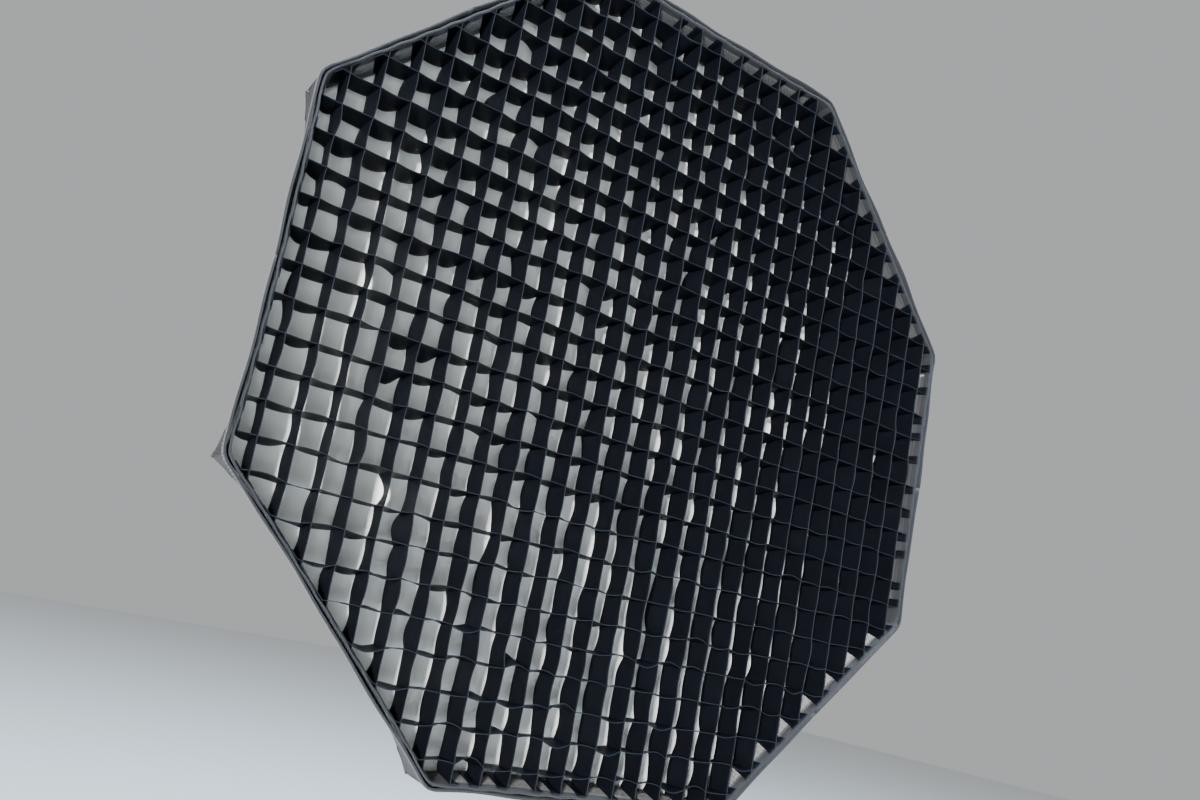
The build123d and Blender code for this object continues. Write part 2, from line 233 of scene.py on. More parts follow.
# ---- Speed ring, hinge pins and lock screw
# A cast ring with eight hinge forks, powder coated black, with plated pins pressed in.
# The lock screw is steel with a moulded grip knob.
powder_coat = hard_material("black_powder_coat", (0.025, 0.025, 0.027), 0.48, 0.0, 1500, 0.35)
knob_plastic = hard_material("knob_plastic", (0.018, 0.018, 0.019), 0.55, 0.0, 2200, 0.3)
finish_node("speed_ring", powder_coat)
finish_node("rod_hinge_pins", zinc)
finish_node("lock_screw", zinc)
finish_node("lock_knob", knob_plastic)

# ---- Rods
# Eight dark spring-steel rods with ball tips. Each is pressed into a black fitting whose
# eye turns on the ring's hinge pin.
spring_steel = hard_material("spring_steel", (0.16, 0.16, 0.17), 0.34, 0.9, 600, 0.1)
rod_numbers = range(1, 9)
for number in rod_numbers:
    finish_node(f"rod_{number}", spring_steel)
    finish_node(f"rod_root_{number}", powder_coat)

# ---- Shell: eight gores of black nylon with a silver lining
# Each gore is cut as one long taper and sewn to its neighbours along the rods. It creases
# into a middle wedge and two outer panels when the box folds, so it is built as those.


def cloth_frame(points, wrap):
    """Unit normals of a grid of points, rows by columns."""
    if wrap:
        along = np.roll(points, -1, 1) - np.roll(points, 1, 1)
    else:
        along = np.gradient(points, axis=1)
    across = np.gradient(points, axis=0)
    normal = np.cross(across, along)
    return normal / np.maximum(np.linalg.norm(normal, axis=2, keepdims=True), 1e-12)


def mesh_object(name, vertices, faces, materials, uv, face_materials=None):
    """One mesh piece. uv is per vertex, in metres of cloth."""
    mesh = bpy.data.meshes.new(name)
    mesh.from_pydata([tuple(v) for v in vertices], [], faces)
    for material in materials:
        mesh.materials.append(material)
    if face_materials is not None:
        mesh.polygons.foreach_set("material_index", face_materials)
    mesh.polygons.foreach_set("use_smooth", [True] * len(mesh.polygons))
    layer = mesh.uv_layers.new(name="cloth")
    corners = np.empty(len(mesh.loops), dtype=np.int32)
    mesh.loops.foreach_get("vertex_index", corners)
    layer.data.foreach_set("uv", np.asarray(uv, dtype=np.float32)[corners].ravel())
    mesh.validate()
    mesh.update()
    piece = bpy.data.objects.new(name, mesh)
    bpy.context.scene.collection.objects.link(piece)
    return piece


class Cloth:
    """Collects sheets with a thickness, closed at their edges, into one mesh."""

    def __init__(self):
        self.vertices, self.faces, self.uv, self.slots = [], [], [], []
        self.count = 0

    def add(self, points, thickness, wrap=False, uv=None, face=0, back=None):
        """points is rows by columns by 3. The thickness grows along the sheet's normal."""
        points = np.asarray(points, float)
        rows, columns = points.shape[:2]
        lifted = points + cloth_frame(points, wrap) * thickness
        if uv is None:
            steps = np.linalg.norm(np.diff(points, axis=1), axis=2).mean(0)
            u = np.concatenate([[0], np.cumsum(steps)])
            rises = np.linalg.norm(np.diff(points, axis=0), axis=2).mean(1)
            v = np.concatenate([[0], np.cumsum(rises)])
            uv = np.stack(np.broadcast_arrays(u[None, :], v[:, None]), -1)
        uv = uv.reshape(-1, 2)
        start, half = self.count, rows * columns
        index = np.arange(half).reshape(rows, columns)
        right = np.roll(index, -1, 1) if wrap else index[:, 1:]
        left = index if wrap else index[:, :-1]
        quads = np.stack([left[:-1], right[:-1], right[1:], left[1:]], -1).reshape(-1, 4)
        under = quads[:, ::-1]
        borders = [(index[0], 1), (index[-1], -1)]
        if not wrap:
            borders += [(index[:, 0], -1), (index[:, -1], 1)]
        sides = []
        for line, way in borders:
            ahead = np.roll(line, -1) if wrap else line[1:]
            behind = line if wrap else line[:-1]
            strip = np.stack([behind, ahead, ahead + half, behind + half], -1)
            sides.append(strip if way > 0 else strip[:, ::-1])
        sides = np.concatenate(sides)
        self.vertices.append(points.reshape(-1, 3))
        self.vertices.append(lifted.reshape(-1, 3))
        self.uv += [uv, uv]
        self.faces += [under + start, quads + half + start, sides + start]
        self.slots += [np.full(len(under), face if back is None else back),
                       np.full(len(quads), face),
                       np.full(len(sides), face)]
        self.count += 2 * half

    def add_loose(self, vertices, faces, uv, face):
        """Ready-made quads, such as stitches."""
        self.vertices.append(vertices)
        self.uv.append(uv)
        self.faces.append(faces + self.count)
        self.slots.append(np.broadcast_to(face, len(faces)))
        self.count += len(vertices)

    def build(self, name, materials):
        return mesh_object(
            name, np.concatenate(self.vertices), np.concatenate(self.faces).tolist(), materials,
            np.concatenate(self.uv), np.concatenate(self.slots))


# Woven cloth: crossed threads from the cloth's own measure, with random lighter and darker patches
# over them.
weave_group, weave_in, weave_out = new_group(
    "woven_threads",
    [("Thread Width", "NodeSocketFloat", 0.0006), ("Contrast", "NodeSocketFloat", 0.3),
     ("Patch Size", "NodeSocketFloat", 14.0), ("Patch Contrast", "NodeSocketFloat", 0.25)],
    [("Shade", "NodeSocketFloat"), ("Height", "NodeSocketFloat")])
join = weave_group.links.new
cloth_uv = add_node(weave_group, "ShaderNodeUVMap", uv_map="cloth")
split_uv = add_node(weave_group, "ShaderNodeSeparateXYZ")
join(cloth_uv.outputs[0], split_uv.inputs[0])
waves = []
for axis in ("X", "Y"):
    threads = combine(weave_group, "DIVIDE", split_uv.outputs[axis],
                      weave_in.outputs["Thread Width"])
    waves.append(combine(weave_group, "SINE", combine(weave_group, "MULTIPLY", threads, pi)))
crossing = combine(weave_group, "MULTIPLY", *waves)
place = add_node(weave_group, "ShaderNodeTexCoord")
patches = add_node(weave_group, "ShaderNodeTexNoise")
patches.inputs["Detail"].default_value = 5.0
patches.inputs["Roughness"].default_value = 0.6
join(place.outputs["Object"], patches.inputs["Vector"])
join(weave_in.outputs["Patch Size"], patches.inputs["Scale"])
thread_shade = combine(weave_group, "MULTIPLY", crossing, weave_in.outputs["Contrast"])
centred = combine(weave_group, "SUBTRACT", patches.outputs["Fac"], 0.5)
patch_shade = combine(weave_group, "MULTIPLY_ADD", centred, weave_in.outputs["Patch Contrast"], 1.0)
join(combine(weave_group, "ADD", thread_shade, patch_shade), weave_out.inputs["Shade"])
join(crossing, weave_out.inputs["Height"])


thread_relief = 0.4              # a thread's height as a share of its width


def cloth_material(name, colour, roughness, thread, contrast, patch_contrast, bump,
                   sheen=0.0, metallic=0.0, patch_size=14.0, specular=0.18):
    material, tree, shader = new_material(name)
    weave = place_group(tree, weave_group, Thread_Width=thread, Contrast=contrast,
                        Patch_Size=patch_size, Patch_Contrast=patch_contrast)
    tint_by(tree, weave.outputs["Shade"], colour, shader.inputs["Base Color"])
    shader.inputs["Roughness"].default_value = roughness
    shader.inputs["Metallic"].default_value = metallic
    shader.inputs["Specular IOR Level"].default_value = specular
    shader.inputs["Sheen Weight"].default_value = sheen
    shader.inputs["Sheen Roughness"].default_value = 0.4
    bump_by(tree, weave.outputs["Height"], shader, bump, thread * thread_relief)
    return material


black_nylon = cloth_material("black_nylon", (0.0085, 0.009, 0.0115), 0.52, 0.0007, 0.35, 0.5,
                             0.5, 0.03)
silver_lining = cloth_material("silver_lining", (0.62, 0.63, 0.65), 0.42, 0.0009, 0.2, 0.35, 0.6,
                               metallic=0.85, patch_size=30, specular=0.5)
binding_tape = cloth_material("binding_tape", (0.010, 0.0103, 0.013), 0.6, 0.0011, 0.5, 0.4,
                              0.9, 0.12)
border_nylon = cloth_material("border_nylon", (0.010, 0.0105, 0.013), 0.5, 0.0009, 0.4, 0.5,
                              0.7, 0.10)
stitch_thread = cloth_material("stitch_thread", (0.075, 0.077, 0.085), 0.5, 0.0004, 0.3, 0.2,
                               0.5, 0.2)

# The shell's shape, from the frame: flat sides that widen from the hinge pins to the rim.
joints = {joint["name"]: joint for joint in frame["joints"]}
half_turn = pi / 8
full_turn = 2 * pi
side_turn = 2 * half_turn
fabric = 0.0008
shell_proud = 0.001              # the CAD shell's skin outside the cloth's middle
rim_ahead = 0.008                # the diffuser's rear to the rim
pin_place = joints["fold"]["pos_m"]
pin_y = pin_place[1]
pin_flat = hypot(pin_place[0], pin_place[2]) * cos(half_turn)
rim_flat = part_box("gore_left_1")[1][0] - shell_proud
diffuser_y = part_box("front_diffuser")[0][1]
rim_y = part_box("front_diffuser")[1][1] + rim_ahead
gore_depth = pin_y - rim_y
gore_length = hypot(rim_flat - pin_flat, gore_depth)
gore_lean_out, gore_lean_y = gore_depth / gore_length, (rim_flat - pin_flat) / gore_length
panel_start = 0.026
corner_round = 0.034             # at the rim, where a rod's ball tip fills the corner
seam_round = 0.004               # along the rods, up to three quarters of the way
panel_sag = 0.004
panel_wrinkle = 0.0009


def rounded_side(flat, across, rounding):
    """Where a point stands on one octagon side, by its distance from the side's middle.
    The corner is an arc of the given radius, and both halves meet at the corner's middle."""
    half = flat * tan(half_turn)
    tangent = rounding * tan(half_turn)
    over = np.clip((np.abs(across) - (half - tangent)) / np.maximum(tangent, 1e-9), 0, 1)
    angle = over * half_turn
    out = flat - rounding + rounding * np.cos(angle)
    arc_side = half - tangent + rounding * np.sin(angle)
    side = np.where(over > 0, arc_side, np.minimum(np.abs(across), half))
    return out, np.sign(across) * side


def place_around(bearing, out, side, y):
    """Object coordinates of (outward, sideways, y) at a side's bearing."""
    cosine, sine = cos(bearing), sin(bearing)
    out, side, y = np.broadcast_arrays(out, side, y)
    return np.stack([out * cosine - side * sine, y, out * sine + side * cosine], -1)


rim_draw = 0.0055                # at the corners of the rim, where the rods hold them out


def draw_in(flat, across, y):
    """How far cloth tension pulls the lip and what is fixed in it towards the axis.
    The rods hold its corners out at the rim, so its sides bow in between them."""
    ahead = np.clip((rim_y - y) / (rim_y - front_y), 0, 1)
    along_side = 1 - np.clip(np.abs(across) / (flat * tan(half_turn)), 0, 1) ** 5
    at_rim, at_edge = rim_draw + 0.0155 * along_side, 0.0003 + 0.0015 * along_side
    return at_rim + (at_edge - at_rim) * ahead


def flat_at(rise):
    """Distance from the axis to the middle of a gore, by its share of the way to the rim."""
    return pin_flat + (rim_flat - pin_flat) * rise


def rounding_at(rise):
    """How round the shell's corner is over a rod, growing towards the rim."""
    return seam_round + (corner_round - seam_round) * np.clip((rise - 0.75) / 0.25, 0, 1) ** 2


def gore_point(bearing, height, share, lower, upper, sag):
    """A point on a gore. share runs from the lower to the upper bound across the gore."""
    rise = height / gore_length
    flat = flat_at(rise)
    half = flat * tan(half_turn)
    low, high = lower(half, rise), upper(half, rise)
    across = low + (high - low) * share
    out, side = rounded_side(flat, across, np.minimum(rounding_at(rise), half * 0.8))
    span = np.clip((high - low) / 0.2, 0, 1)
    dip = sag * np.sin(pi * share) * np.sin(pi * np.clip(rise, 0, 1)) * span
    wrinkle = panel_wrinkle * np.sin(pi * share) * rise
    wrinkle = wrinkle * np.sin(38 * share + 9 * np.sin(5 * rise + bearing))
    dip = dip + wrinkle * np.clip((1 - rise) * 14, 0, 1)
    out = out - draw_in(flat, across, rim_y) * np.clip(rise, 0, 1) ** 5
    return place_around(bearing, out - dip * gore_lean_out, side,
                        pin_y - gore_depth * rise - dip * gore_lean_y)


def flatten_when_folded(piece):
    """Gives a panel its own copy of its mesh."""
    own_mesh(piece)


def crease(half, rise):
    """The fold line, from the ring's corner to the middle of the rim."""
    return pin_flat * tan(half_turn) * (1 - rise)


gore_rows, panel_columns, wedge_columns = 64, 34, 10
heights = np.linspace(panel_start, gore_length, gore_rows)[:, None]
wedge_heights = np.linspace(panel_start, gore_length * 0.995, gore_rows)[:, None]
rim_half = rim_flat * tan(half_turn)
for number in rod_numbers:
    bearing = (number - 1) * side_turn
    for hand, side_name in ((1, "left"), (-1, "right")):
        share = np.linspace(0, 1, panel_columns)[None, :] ** 0.8
        grid = gore_point(bearing, heights, share, lambda half, rise: hand * crease(half, rise),
                          lambda half, rise: hand * half, panel_sag)
        cloth = Cloth()
        cloth.add(grid if hand < 0 else grid[:, ::-1], fabric, face=0, back=1)
        piece = cloth.build(f"shell_panel_{side_name}_{number}", [black_nylon, silver_lining])
        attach(piece, f"gore_{side_name}_{number}")
        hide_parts(f"gore_{side_name}_{number}")
        flatten_when_folded(piece)
    share = np.linspace(0, 1, wedge_columns)[None, :]
    grid = gore_point(bearing, wedge_heights, share, lambda half, rise: -crease(half, rise),
                      lambda half, rise: crease(half, rise), 0.0)
    cloth = Cloth()
    cloth.add(grid[:, ::-1], fabric, face=0, back=1)
    piece = cloth.build(f"shell_wedge_{number}", [black_nylon, silver_lining])
    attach(piece, f"gore_middle_{number}")
    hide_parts(f"gore_middle_{number}")

# ---- Lip: the band of shell cloth that stands forward of the rod tips
# It is sewn to the gores at the rim and bound along its front edge with folded tape held by
# two rows of stitching. Loop tape inside it takes the diffuser and the grid.
binding_thickness = 0.0007
binding_width = 0.011
loop_tape = cloth_material("loop_tape", (0.012, 0.012, 0.013), 0.9, 0.0016, 0.6, 0.3, 1.0, 0.5)


def edge_wobble(bearing, across, flat):
    """How far a sewn edge strays outwards and forwards, the same for both pieces that meet."""
    around = bearing + np.arctan2(across, flat)
    out = 0.0011 * np.sin(11 * around + 0.6) + 0.0007 * np.sin(29 * around + 2.0)
    ahead = 0.0012 * np.sin(9 * around + 1.7) + 0.0006 * np.sin(31 * around)
    return out, ahead


def lip_point(bearing, across, y, lift):
    """A point on the lip, lifted outwards from the cloth's inner face."""
    flat = rim_flat + lift
    out, side = rounded_side(flat, across, corner_round + lift)
    share = np.clip((rim_y - y) / (rim_y - front_y), 0, 1)
    wobble_out, wobble_ahead = edge_wobble(bearing, across, flat)
    out = out - draw_in(flat, across, y) + (wobble_out - 0.0012) * share
    return place_around(bearing, out, side, y - (wobble_ahead - 0.0019) * share)


def tube_faces(rings, around):
    """Quads between the rings of a tube."""
    return [(ring * around + k, ring * around + (k + 1) % around,
             (ring + 1) * around + (k + 1) % around, (ring + 1) * around + k)
            for ring in range(rings - 1) for k in range(around)]


def stitches(paths, normals, pitch, length, width, raise_by):
    """Short raised threads along a line of points: flat-bottomed bars with tapered ends."""
    run = np.concatenate([[0], np.cumsum(np.linalg.norm(np.diff(paths, axis=0), axis=1))])

    def at(places, values):
        return np.stack([np.interp(places, run, values[:, k]) for k in range(3)], -1)

    middles = np.arange(pitch / 2, run[-1], pitch)
    step = 0.0004
    centre = at(middles, paths)
    along = at(middles + step, paths) - at(middles - step, paths)
    along /= np.maximum(np.linalg.norm(along, axis=1, keepdims=True), 1e-12)
    up = at(middles, normals)
    up /= np.linalg.norm(up, axis=1, keepdims=True)
    across = np.cross(along, up)
    section = [(-0.5, -0.2), (-0.3, 0.8), (0.3, 0.8), (0.5, -0.2)]
    stations = [(-0.5, 0.35), (-0.3, 1.0), (0.3, 1.0), (0.5, 0.35)]
    template = np.array([(station * length, side * width * scale, rise * raise_by * scale)
                         for station, scale in stations for side, rise in section])
    vertices = (centre[:, None] + along[:, None] * template[None, :, :1]
                + across[:, None] * template[None, :, 1:2] + up[:, None] * template[None, :, 2:])
    faces = np.array(tube_faces(4, 4) + [(3, 2, 1, 0), (12, 13, 14, 15)])
    count = len(middles)
    all_faces = (faces[None] + (np.arange(count) * 16)[:, None, None]).reshape(-1, 4)
    return vertices.reshape(-1, 3), all_faces, np.zeros((count * 16, 2))


lip_columns = 64
lip_rows = 12
lip_depth = rim_y - front_y
loop_depths = np.linspace(rim_y - 0.004, front_y + 0.013, 8)[:, None]
loop_inset, loop_thickness = 0.0012, 0.0009
lip_stitch = dict(pitch=0.0046, length=0.0033, width=0.0008, raise_by=0.0005)
for number in rod_numbers:
    bearing = (number - 1) * side_turn
    for hand, side_name in ((1, "left"), (-1, "right")):
        across = hand * (np.linspace(0, 1, lip_columns) ** 0.75 * rim_half)[None, :]
        if hand > 0:
            across = across[:, ::-1]
        depths = np.linspace(rim_y, front_y, lip_rows)[:, None]
        cloth = Cloth()
        cloth.add(lip_point(bearing, across, depths, 0.0), fabric, face=0)
        lip = cloth.build(f"lip_{side_name}_{number}", [black_nylon])
        cloth = Cloth()
        # folded tape: up the outside, round the edge and down the inside
        fold = [(lip_depth - binding_width, fabric + 0.0002), (lip_depth - 0.004, fabric + 0.0003),
                (lip_depth, fabric + 0.0001), (lip_depth + 0.0012, 0.0004), (lip_depth, -0.0006),
                (lip_depth - 0.004, -0.0006), (lip_depth - binding_width, -0.0005)]
        tape = np.concatenate([lip_point(bearing, across, np.full((1, 1), rim_y - ahead), lift)
                               for ahead, lift in fold])
        cloth.add(tape, binding_thickness, face=0)
        # loop tape inside the lip
        cloth.add(lip_point(bearing, across, loop_depths, -loop_inset), loop_thickness, face=2)
        for from_edge in (0.003, 0.0085):
            line_y = np.full((1, 1), front_y + from_edge)
            line = lip_point(bearing, across, line_y, fabric + binding_thickness + 0.0003)[0]
            normal = line - lip_point(bearing, across, line_y, 0.0)[0]
            cloth.add_loose(*stitches(line, normal, **lip_stitch), face=1)
        trim = cloth.build(f"lip_trim_{side_name}_{number}",
                           [binding_tape, stitch_thread, loop_tape])
        for piece in (lip, trim):
            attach(piece, f"gore_{side_name}_{number}")
            flatten_when_folded(piece)

# ---- Rod seams: piping sewn over the join of two gores, outside each rod
# A cord wrapped in bias tape. The seam's stitching beside it is not drawn.
piping_radius = 0.0016
piping_ring = 10
turn_angles = np.linspace(0, full_turn, piping_ring, endpoint=False)
along_seam = np.linspace(panel_start + 0.012, gore_length - 0.001, 90)
for number in rod_numbers:
    bearing = (2 * number - 1) * half_turn
    rise = along_seam / gore_length
    rounding = rounding_at(rise)
    radius = ((flat_at(rise) - rounding) / cos(half_turn) + rounding + piping_radius * 0.9
              - rim_draw * cos(half_turn) * rise ** 5)
    centre_y = pin_y - gore_depth * rise + piping_radius * 0.6
    twist = 1 + 0.04 * np.sin(radius[:, None] * 900)
    out = radius[:, None] + piping_radius * np.cos(turn_angles) * twist
    side = piping_radius * np.sin(turn_angles)[None, :]
    grid = place_around(bearing, out, side, np.broadcast_to(centre_y[:, None], out.shape))
    vertices = np.concatenate([grid.reshape(-1, 3), grid[:1].mean(1), grid[-1:].mean(1)])
    faces = tube_faces(len(along_seam), piping_ring)
    last = (len(along_seam) - 1) * piping_ring
    cap_start, cap_end = len(vertices) - 2, len(vertices) - 1
    for k in range(piping_ring):
        faces.append((cap_start, (k + 1) % piping_ring, k))
        faces.append((cap_end, last + k, last + (k + 1) % piping_ring))
    uv = np.stack(np.broadcast_arrays(along_seam[:, None], turn_angles[None, :] * piping_radius),
                  -1).reshape(-1, 2)
    piece = mesh_object(f"seam_piping_{number}", vertices, faces, [binding_tape],
                        np.concatenate([uv, np.zeros((2, 2))]))
    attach(piece, f"rod_{number}")

# ---- Rod pockets: patches of doubled webbing that hold each rod's ball tip
# They wrap the shell's corner from the outside, with a seam all round.
pocket_length, pocket_wrap, pocket_rise = 0.060, 0.030, 0.0062
pocket_thickness, pocket_inset, pocket_gap = 0.0009, 0.004, 0.0006
rows = np.linspace(0, 1, 26)[:, None]
wrap_share = np.linspace(-1, 1, 25)[None, :]
rise = (gore_length - pocket_inset - pocket_length * (1 - rows)) / gore_length
flat = flat_at(rise)
side = wrap_share * pocket_wrap * cos(half_turn)
crown = np.exp(-(wrap_share / 0.42) ** 2) * np.exp(-((rows - 0.72) / 0.30) ** 2)
corner_dip = 0.0028 * np.exp(-(wrap_share / 0.5) ** 2)
out = flat / cos(half_turn) - np.abs(wrap_share) * pocket_wrap * sin(half_turn)
out = out - corner_dip - draw_in(flat, flat * tan(half_turn) - np.abs(side), rim_y) * rise ** 5
out = out + pocket_gap + pocket_rise * crown
y = pin_y - gore_depth * rise + 0.0004 + 0.5 * pocket_rise * crown
for number in rod_numbers:
    bearing = (2 * number - 1) * half_turn
    cloth = Cloth()
    cloth.add(place_around(bearing, out, side, y)[::-1], pocket_thickness, face=0)
    pocket = cloth.build(f"rod_pocket_{number}", [border_nylon])
    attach(pocket, f"rod_{number}")

# ---- Rear collar: a gathered sleeve of shell cloth that closes the shell to the speed ring
# Elastic in its rear hem pulls it in behind the ring. The lock screw passes through it.
collar_low, collar_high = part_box("rear_collar")
collar_rear_y, collar_front_y = collar_high[1], collar_low[1]
collar_front_flat = collar_high[0] - 0.0005
collar_rear_flat = collar_front_flat * 100 / 122
collar_columns = 256


def round_the_box(columns):
    """Bearings right round the box, those of the sides they are on, and the angles between."""
    bearings = np.linspace(0, full_turn, columns, endpoint=False)
    side_bearings = np.round(bearings / side_turn) * side_turn
    return bearings, side_bearings, bearings - side_bearings


def ring_points(radius, y, bearings):
    """Points at their distances from the axis, all round the box."""
    y = np.broadcast_to(y, bearings.shape)
    return np.stack([radius * np.cos(bearings), y, radius * np.sin(bearings)], -1)


collar_turns, _, within = round_the_box(collar_columns)
rows = []
for share in np.linspace(0, 1, 18):
    flat = collar_rear_flat + (collar_front_flat - collar_rear_flat) * share
    octagon = flat / np.cos(within)
    smooth = flat * 1.03
    radius = octagon * (0.35 + 0.65 * share) + smooth * (0.65 - 0.65 * share)
    gather = 0.0011 * np.sin(46 * collar_turns + 2 * np.sin(5 * collar_turns))
    gather = gather * np.sin(pi * min(1, 1.15 - share)) ** 2
    radius = np.minimum(radius + gather - 0.0016 * sin(pi * share), octagon + 0.001)
    y = collar_rear_y + (collar_front_y - collar_rear_y) * share
    rows.append(ring_points(radius, y, collar_turns))
cloth = Cloth()
cloth.add(np.stack(rows)[:, ::-1], fabric, wrap=True, face=0)
hem = []
rear_radius = np.linalg.norm(rows[0][:, ::2], axis=1, keepdims=True)
for angle in np.linspace(0, full_turn, 11):
    base = rows[0] + (0, 0.0012 * cos(angle), 0)
    scale = 1 + (0.0014 * sin(angle) + 0.0004) / rear_radius
    hem.append(base * np.concatenate([scale, np.ones_like(scale), scale], 1))
cloth.add(np.stack(hem)[:, ::-1], 0.0003, wrap=True, face=1)
collar = cloth.build("collar_sleeve", [black_nylon, binding_tape])
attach(collar, "ring")
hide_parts("rear_collar")

# ---- Inner baffle: white diffusion cloth with a folded hem, hung from the rods on elastic
# Eight elastic straps end in moulded hooks that rest against the rods.
white_cloth = cloth_material("diffusion_cloth", (0.80, 0.815, 0.80), 0.75, 0.0008, 0.03, 0.06,
                             0.25, 0.15, patch_size=3.0, specular=0.2)
white_hem = cloth_material("white_hem", (0.70, 0.71, 0.70), 0.8, 0.0008, 0.08, 0.12, 0.4, 0.2,
                           specular=0.2)
elastic = cloth_material("elastic", (0.02, 0.02, 0.021), 0.7, 0.0014, 0.6, 0.3, 1.0, 0.3)
hook_plastic = hard_material("hook_plastic", (0.02, 0.02, 0.021), 0.45, 0.0, 1800, 0.2)
cloth_thickness = 0.0005
corner_tuck = 0.003              # clear of the rods' ball tips at the diffuser's corners


def octagon_sheet(flat, y, rings, columns, relief):
    """Rings of points from a small middle to an octagon's edge, with a relief in depth."""
    angles, _, from_side = round_the_box(columns)
    edge = flat / np.cos(from_side)
    if y < rim_y:
        at_corner = 1 - np.abs(from_side) / half_turn < 0.1
        edge = edge - draw_in(flat, flat * np.tan(from_side), y) - corner_tuck * at_corner
    points = []
    for share in np.linspace(0.004, 1, rings):
        blend = share ** 2
        radius = share * (edge * blend + flat * (1 - blend) * (1 + 0.04 * (1 - blend)))
        lift = relief(share, angles)
        points.append(ring_points(radius, y + lift, angles))
    return np.stack(points)


def add_sheet(cloth, grid, thickness, face):
    """A sheet from rings of points, its small middle closed."""
    flat_uv = grid[:, :, ::2].reshape(grid.shape[0], grid.shape[1], 2)
    cloth.add(grid, thickness, wrap=True, uv=flat_uv, face=face)
    lifted = grid[0] + cloth_frame(grid, True)[0] * thickness
    for ring, way in ((grid[0], -1), (lifted, 1)):
        vertices = np.concatenate([ring, ring.mean(0, keepdims=True)])
        count = len(ring)
        order = np.arange(0, count, 2)
        faces = np.stack([order, (order + 1) % count, (order + 2) % count,
                          np.full(len(order), count)], -1)
        cloth.add_loose(vertices, faces[:, ::-way], vertices[:, ::2], face)


baffle_low, baffle_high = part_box("inner_baffle")
baffle_flat = baffle_high[0] - 0.0006


def baffle_relief(share, angles):
    pull = np.exp(-((angles / side_turn % 1 - 0.5) / 0.13) ** 2)
    waves = 0.0012 * share ** 3 * pull * np.cos(60 * (share - 1))
    return waves + 0.0008 * np.sin(3 * angles) * share


cloth = Cloth()
add_sheet(cloth, octagon_sheet(baffle_flat, baffle_low[1] + 0.0004, 40, 256, baffle_relief),
          cloth_thickness, 0)
baffle = cloth.build("baffle_cloth", [white_cloth])
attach(baffle, "baffle")
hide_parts("inner_baffle")

hem_low, hem_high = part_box("baffle_hem")
hem_columns, hem_thickness = 320, 0.0004
hem_turns, _, hem_within = round_the_box(hem_columns)
hem_course = ((0.0002, 0.5), (0.0004, 0.05), (0.002, 0.0), (0.016, 0.12), (0.0176, 0.3),
              (0.0178, 0.5))     # inset from the edge, share of the hem's depth
hem_rows = []
for inset, y_share in hem_course:
    pucker = 0.0003 * np.sin(90 * hem_turns) * (y_share < 0.4)
    y = (hem_low[1] + hem_thickness + (hem_high[1] - hem_low[1] - 2 * hem_thickness) * y_share
         + pucker)
    hem_rows.append(ring_points((baffle_flat - inset) / np.cos(hem_within), y, hem_turns))
cloth = Cloth()
cloth.add(np.stack(hem_rows), hem_thickness, wrap=True, face=0)
for inset in (0.004, 0.0145):
    line = ring_points((baffle_flat - inset) / np.cos(hem_within), hem_low[1] + hem_thickness,
                       hem_turns)
    forward = np.broadcast_to(np.array([0.0, -1.0, 0.0]), line.shape)
    cloth.add_loose(*stitches(line, forward, pitch=0.005, length=0.0034, width=0.0008,
                              raise_by=0.0004), face=1)
hem_piece = cloth.build("baffle_folded_hem", [white_hem, white_cloth])
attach(hem_piece, "baffle")
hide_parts("baffle_hem")
finish_node("baffle_straps", elastic)
finish_node("baffle_hooks", hook_plastic)

# ---- Front diffuser: white cloth stretched across the lip, sewn to a band of hook tape
# The cloth is tight, with shallow tension waves where the band pulls at its corners.
diffuser_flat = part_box("front_diffuser")[1][0] - 0.0008


def diffuser_relief(share, angles):
    pull = np.exp(-((angles / side_turn % 1 - 0.5) / 0.10) ** 2)
    return (0.0018 * share ** 4 * pull * np.cos(34 * (share - 1))
            + 0.0014 * np.sin(2 * angles + 1) * share * (1 - share)
            + 0.0006 * np.sin(38 * angles) * share ** 10)


cloth = Cloth()
add_sheet(cloth, octagon_sheet(diffuser_flat, diffuser_y + 0.0003, 70, 384, diffuser_relief),
          cloth_thickness, 0)
diffuser = cloth.build("diffuser_cloth", [white_cloth])
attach(diffuser, "diffuser")
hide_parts("front_diffuser")
band_low, band_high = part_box("diffuser_band")
band_columns = 512
_, band_side, band_within = round_the_box(band_columns)
band_across = np.tan(band_within) * diffuser_flat


def loop_around(flat, across, sides, rounding, y):
    """Points right round the box, at a distance from the axis, with rounded corners."""
    out, side = rounded_side(flat, across, rounding)
    out = out - draw_in(flat, across, y)
    cosine, sine = np.cos(sides), np.sin(sides)
    return np.stack([out * cosine - side * sine, np.broadcast_to(y, out.shape),
                     out * sine + side * cosine], -1)


band_rows = []
for share in np.linspace(0.01, 0.99, 7):
    band_flat = diffuser_flat - 0.0012 + 0.0004 * sin(9 * share)
    y = band_low[1] + (band_high[1] - band_low[1]) * share
    band_rows.append(loop_around(band_flat, band_across, band_side, corner_round, y))
cloth = Cloth()
cloth.add(np.stack(band_rows), fabric, wrap=True, face=0)
band = cloth.build("diffuser_hook_band", [loop_tape])
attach(band, "diffuser")
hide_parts("diffuser_band")

# ---- Grid border: a band of stiff black nylon as deep as the ribbons, with a bound front edge
# The ribbons' ends are sewn to its inside and tug it inwards a little at each seam.
grid_low, grid_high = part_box("grid_border")
grid_front, grid_rear = grid_low[1], grid_high[1]
grid_depth = grid_rear - grid_front
border_flat = grid_high[0]
border_inside = border_flat - 0.0016      # its cloth and the binding over it
ribbon_pitch = 0.040
ribbon_count = 27
ribbon_offsets = (np.arange(ribbon_count) - ribbon_count // 2) * ribbon_pitch
border_columns = 960
border_turns, border_side, border_within = round_the_box(border_columns)
border_across = np.tan(border_within) * border_flat


